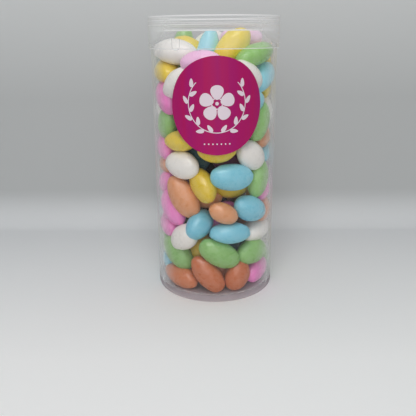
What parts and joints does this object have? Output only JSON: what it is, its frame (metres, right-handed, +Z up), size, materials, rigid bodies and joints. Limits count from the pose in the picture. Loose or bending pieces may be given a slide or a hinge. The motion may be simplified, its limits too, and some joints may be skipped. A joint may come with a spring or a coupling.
{
  "type": "jar of sugared almonds",
  "caption": "Clear round jar with a slip-on lid and a round sticker, filled with sugared almonds in pastel colours.",
  "frame": {"origin": "middle of the foot, on the surface that the jar stands on", "axes": "+Z up along the jar's axis, -Y to the front, where the sticker is"},
  "size_m": [0.0786, 0.0786, 0.1706],
  "materials": {
    "clear_plastic": "smooth clear moulded plastic, glossy, with soft reflections",
    "sticker_paper": "coated paper printed deep magenta with white line ornament, satin",
    "sugar_shell": "hard sugar shells in white, pink, yellow, blue, green and orange, satin with faint dimples"
  },
  "bodies": {
    "root": {"jar_body": "clear_plastic", "lid": "clear_plastic", "sticker": "sticker_paper", "almonds": "sugar_shell"}
  },
  "joints": []
}
